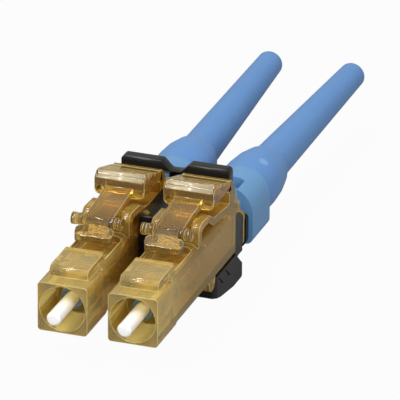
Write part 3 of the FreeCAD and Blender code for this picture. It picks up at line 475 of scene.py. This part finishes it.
def dress(node: str, material: bpy.types.Material, edge: Edge | None = None) -> None:
    """Gives one solid its finish, smooth shading and rounded edges.

    Args:
        node: the solid's name.
        material: what it is made of.
        edge: how far its edges are rounded, or None to leave them as they are.
    """
    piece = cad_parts[node]
    piece.data.materials.clear()
    piece.data.materials.append(material)
    weld = piece.modifiers.new("weld", "WELD")
    weld.merge_threshold = WELD_DISTANCE * MM
    merge = piece.modifiers.new("flat faces", "DECIMATE")
    merge.decimate_type = "DISSOLVE"
    merge.angle_limit = math.radians(FLAT_ANGLE)
    if edge is not None:
        bevel = piece.modifiers.new("rounded edges", "BEVEL")
        bevel.width = edge.value * MM
        bevel.segments = BEVEL_STEPS
        bevel.limit_method = "ANGLE"
        bevel.angle_limit = math.radians(BEVEL_ANGLE)
        bevel.use_clamp_overlap = False
        bevel.harden_normals = False
    shade = piece.modifiers.new("smooth faces", "NODES")
    shade.node_group = smooth_group()
    weigh = piece.modifiers.new("weighted normals", "WEIGHTED_NORMAL")
    weigh.keep_sharp = True
    LOG.info("dressed %s in %s", node, material.name)


@dataclass
class DuplexClip:
    """The one-piece clip that holds the two plugs."""

    finishes: Finishes
    edge: Edge = Edge.MOULDED

    def build(self) -> None:
        """Dresses the clip."""
        dress("duplex_clip", self.finishes.clip, self.edge)


@dataclass
class TriggerRibs:
    """Half-round ribs that lie in the two grooves of a trigger's sloping front edge.

    The slope runs at 45 degrees, up and to the rear.
    """

    side: Side
    finishes: Finishes
    front_from_rear: float = 4.20       # the slope's foot, from the lever's rear end
    slope: float = 0.62                 # how far the slope rises, to the lever's top
    half_length: float = 2.02
    radius: float = 0.34
    groove_depth: float = 0.07
    seat: float = 0.004                 # how far a rib's long edges reach below its groove
    sink: float = 0.012                 # how far its crown stays below the slope
    count: int = 2
    arc_steps: int = 12

    def section(self) -> list[Span]:
        """The outline of one rib, from its middle.

        Returns:
            Points as (along the slope, above it).
        """
        axis = -self.sink - self.radius
        floor = -self.groove_depth - self.seat
        reach = math.acos((floor - axis) / self.radius)
        turns = [reach * (2 * step / self.arc_steps - 1) for step in range(self.arc_steps + 1)]
        return [(self.radius * math.sin(turn), axis + self.radius * math.cos(turn)) for turn in turns]

    def build(self) -> None:
        """Makes the ribs and lets them ride on the lever."""
        low, high = (Vector(corner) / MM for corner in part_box(f"{self.side.value}_latch_lever"))
        middle = (low.x + high.x) / 2
        foot = Vector((middle, high.y - self.front_from_rear, high.z - self.slope))
        along = Vector((0, 1, 1)).normalized()
        out = Vector((0, -1, 1)).normalized()
        pitch = self.slope * math.sqrt(2) / self.count
        for number in range(self.count):
            centre = foot + along * pitch * (number + 0.5)
            self.rib(number, centre, along, out)

    def rib(self, number: int, centre: Vector, along: Vector, out: Vector) -> None:
        """Makes one rib.

        Args:
            number: which of the ribs it is.
            centre: the middle of its groove, at the level of the slope.
            along: direction up the slope.
            out: direction out of the slope.
        """
        section = self.section()
        corners = []
        for x in (-self.half_length, self.half_length):
            corners += [(centre + Vector((x, 0, 0)) + along * a + out * b) * MM for a, b in section]
        count = len(section)
        faces = [(i, (i + 1) % count, (i + 1) % count + count, i + count) for i in range(count)]
        faces += [tuple(range(count)), tuple(reversed(range(count, 2 * count)))]
        mesh = bpy.data.meshes.new("rib")
        mesh.from_pydata(corners, [], faces)
        mesh.validate()
        rib = bpy.data.objects.new(f"{self.side.value}_trigger_rib_{number}", mesh)
        bpy.context.scene.collection.objects.link(rib)
        mesh.materials.append(self.finishes.rib)
        for face in mesh.polygons:
            face.use_smooth = len(face.vertices) == 4
        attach(rib, f"{self.side.value}_latch")
        LOG.info("made %s", rib.name)


@dataclass
class FibrePlug:
    """One of the two plugs, with all that its housing holds."""

    side: Side
    finishes: Finishes

    def node(self, piece: str) -> str:
        """The full name of one of this plug's solids."""
        return f"{self.side.value}_{piece}"

    def build(self) -> None:
        """Dresses the plug from the nose to the boot."""
        self.dress_mouldings()
        self.dress_core()
        self.dress_rear()

    def dress_mouldings(self) -> None:
        """Housing and latch lever, both clear amber."""
        dress(self.node("housing"), self.finishes.body, Edge.MOULDED)
        dress(self.node("latch_lever"), self.finishes.lever, Edge.FINE)
        TriggerRibs(self.side, self.finishes).build()

    def dress_core(self) -> None:
        """Ferrule and what carries it."""
        dress(self.node("ferrule"), self.finishes.ceramic, Edge.CRISP)
        dress(self.node("ferrule_holder"), self.finishes.holder, Edge.CRISP)
        dress(self.node("spring"), self.finishes.wire)
        dress(self.node("guide_tube"), self.finishes.guide)

    def dress_rear(self) -> None:
        """Crimp body and sleeve, rear body and boot."""
        dress(self.node("crimp_body"), self.finishes.crimp, Edge.CRISP)
        dress(self.node("crimp_sleeve"), self.finishes.sleeve, Edge.CRISP)
        dress(self.node("rear_body"), self.finishes.rear, Edge.SOFT)
        dress(self.node("boot"), self.finishes.boot, Edge.SOFT)


# ------------------------------------------------------------------------------ studio


def direction(azimuth: float, elevation: float) -> Vector:
    """The way from the connector to a camera or a lamp.

    Args:
        azimuth: the turn to the right, from straight in front of the noses.
        elevation: the rise above the floor.

    Returns:
        A vector of length 1.
    """
    turn, rise = math.radians(azimuth), math.radians(elevation)
    return Vector((math.sin(turn) * math.cos(rise), -math.cos(turn) * math.cos(rise), math.sin(rise)))


@dataclass
class Camera:
    """A long lens that looks down on the noses from the front right."""

    azimuth: float = 19.32
    elevation: float = 24.23
    roll: float = 0.44
    distance: float = 500.0
    lens: float = 526.95
    sensor: float = 36.0
    target: Point = (0.0, -11.75, 5.05)     # between the plugs, at the height of their axes
    aim_right: float = 3.455                # how far it aims to the right of the target
    aim_up: float = 3.708                   # and above it
    near: float = 10.0
    far: float = 20000.0

    def build(self) -> None:
        """Makes the camera and sets it as the scene's."""
        turn, roll = math.radians(self.azimuth), math.radians(self.roll)
        back = direction(self.azimuth, self.elevation)
        level = Vector((math.cos(turn), math.sin(turn), 0.0))
        upright = back.cross(level)
        right = level * math.cos(roll) + upright * math.sin(roll)
        up = upright * math.cos(roll) - level * math.sin(roll)
        aim = Vector(self.target) + right * self.aim_right + up * self.aim_up
        data = bpy.data.cameras.new("camera")
        data.sensor_width = self.sensor
        data.lens = self.lens
        data.clip_start = self.near * MM
        data.clip_end = self.far * MM
        camera = bpy.data.objects.new("camera", data)
        axes = Matrix((right, up, back)).transposed().to_4x4()
        camera.matrix_world = Matrix.Translation((aim + back * self.distance) * MM) @ axes
        bpy.context.scene.collection.objects.link(camera)
        bpy.context.scene.camera = camera
        LOG.info("camera with a lens of %.0f mm", data.lens)


@dataclass
class Softbox:
    """One rectangular lamp, placed by its direction from the middle of the connector."""

    name: str
    azimuth: float
    elevation: float
    distance: float
    width: float
    height: float
    watts: float

    def build(self) -> None:
        """Makes the lamp."""
        way = direction(self.azimuth, self.elevation)
        data = bpy.data.lights.new(self.name, "AREA")
        data.shape = "RECTANGLE"
        data.size = self.width * MM
        data.size_y = self.height * MM
        data.energy = self.watts
        lamp = bpy.data.objects.new(self.name, data)
        lamp.location = way * self.distance * MM
        lamp.rotation_mode = "QUATERNION"
        lamp.rotation_quaternion = (-way).to_track_quat("-Z", "Y")
        bpy.context.scene.collection.objects.link(lamp)
        LOG.info("lamp %s", self.name)


@dataclass
class Studio:
    """Pale floor, white surroundings and soft lamps.

    The seen shares say how much plain white camera, glossy and transmission rays meet, in that order.
    """

    floor_half: float = 2500.0
    floor_drop: float = 0.02            # how far the floor lies below the connector's foot
    floor_seen: Shares = (0.96, 0.08, 0.46)
    paper: Colour = (0.25, 0.25, 0.25)
    paper_patch: Colour = (0.23, 0.23, 0.23)
    paper_patch_size: float = 30.0
    paper_roughness: float = 0.9
    paper_specular: float = 0.1
    room_seen: Shares = (1.0, 0.0, 0.7)
    ambient: float = 0.55
    lamps: list[Softbox] = field(default_factory=lambda: [
        Softbox("key", -36.0, 59.0, 300.0, 60.0, 110.0, 0.34),
        Softbox("front strip", -21.0, 33.2, 300.0, 30.0, 50.0, 0.14),
        Softbox("top strip", -105.5, 71.9, 300.0, 50.0, 30.0, 0.14),
        Softbox("top", 30.0, 75.0, 320.0, 240.0, 240.0, 0.20),
        Softbox("front right", 48.0, 24.0, 320.0, 120.0, 160.0, 0.46),
    ])

    def build(self) -> None:
        """Makes the floor, the world and the lamps."""
        self.build_floor()
        self.build_world()
        for lamp in self.lamps:
            lamp.build()
        bpy.context.scene.view_settings.view_transform = "Standard"

    def build_floor(self) -> None:
        """A flat sheet just under the connector's foot."""
        half = self.floor_half * MM
        mesh = bpy.data.meshes.new("floor")
        corners = [(-half, -half, 0), (half, -half, 0), (half, half, 0), (-half, half, 0)]
        mesh.from_pydata(corners, [], [(0, 1, 2, 3)])
        floor = bpy.data.objects.new("floor", mesh)
        floor.location.z = -self.floor_drop * MM
        bpy.context.scene.collection.objects.link(floor)
        floor.data.materials.append(self.floor_material())
        LOG.info("made %s", floor.name)

    def floor_material(self) -> bpy.types.Material:
        """White paper that keeps a soft shadow.

        Returns:
            The material.
        """
        tree, shader, output = new_material("studio_paper")
        patches = tree.noise(self.paper_patch_size)
        tree.join(tree.blend(patches, self.paper, self.paper_patch), shader.inputs["Base Color"])
        shader.inputs["Roughness"].default_value = self.paper_roughness
        shader.inputs["Specular IOR Level"].default_value = self.paper_specular
        glow = tree.add("Emission", Strength=1.0)
        mix = tree.add("MixShader")
        tree.join(self.ray_share(tree, self.floor_seen), mix.inputs["Fac"])
        tree.join(shader.outputs["BSDF"], mix.inputs[1])
        tree.join(glow.outputs["Emission"], mix.inputs[2])
        tree.join(mix.outputs["Shader"], output.inputs["Surface"])
        return tree.owner

    def build_world(self) -> None:
        """An even, pale grey room that is white to the camera and through the clear plastic."""
        world = bpy.data.worlds.new("room")
        world.use_nodes = True
        tree = NodeTree(world)
        room = world.node_tree.nodes["Background"]
        level = tree.remap(self.ray_share(tree, self.room_seen), FULL, (self.ambient, 1.0))
        tree.join(level, room.inputs["Strength"])
        room.inputs["Color"].default_value = (1.0, 1.0, 1.0, 1.0)
        bpy.context.scene.world = world
        LOG.info("made %s", world.name)

    def ray_share(self, tree: NodeTree, shares: Shares) -> Socket:
        """How much of the plain white backdrop a ray sees, by its kind.

        Args:
            tree: the node tree that asks.
            shares: the share, 0 to 1, for camera, glossy and transmission rays.

        Returns:
            The largest share that applies to the ray.
        """
        path = tree.add("LightPath")
        parts = []
        for kind, share in zip(("Is Camera Ray", "Is Glossy Ray", "Is Transmission Ray"), shares):
            part = tree.add("Math", operation="MULTIPLY")
            part.inputs[1].default_value = share
            tree.join(path.outputs[kind], part.inputs[0])
            parts.append(part.outputs[0])
        largest = parts[0]
        for part in parts[1:]:
            pick = tree.add("Math", operation="MAXIMUM")
            tree.join(largest, pick.inputs[0])
            tree.join(part, pick.inputs[1])
            largest = pick.outputs[0]
        return largest


# ------------------------------------------------------------------------------ run


def main() -> None:
    """Builds the connector and the studio in order."""
    logging.basicConfig(level=logging.INFO, format="%(message)s")
    finishes = Finishes()
    DuplexClip(finishes).build()
    for side in Side:
        FibrePlug(side, finishes).build()
    Studio().build()
    Camera().build()


if __name__ == "__main__":
    main()
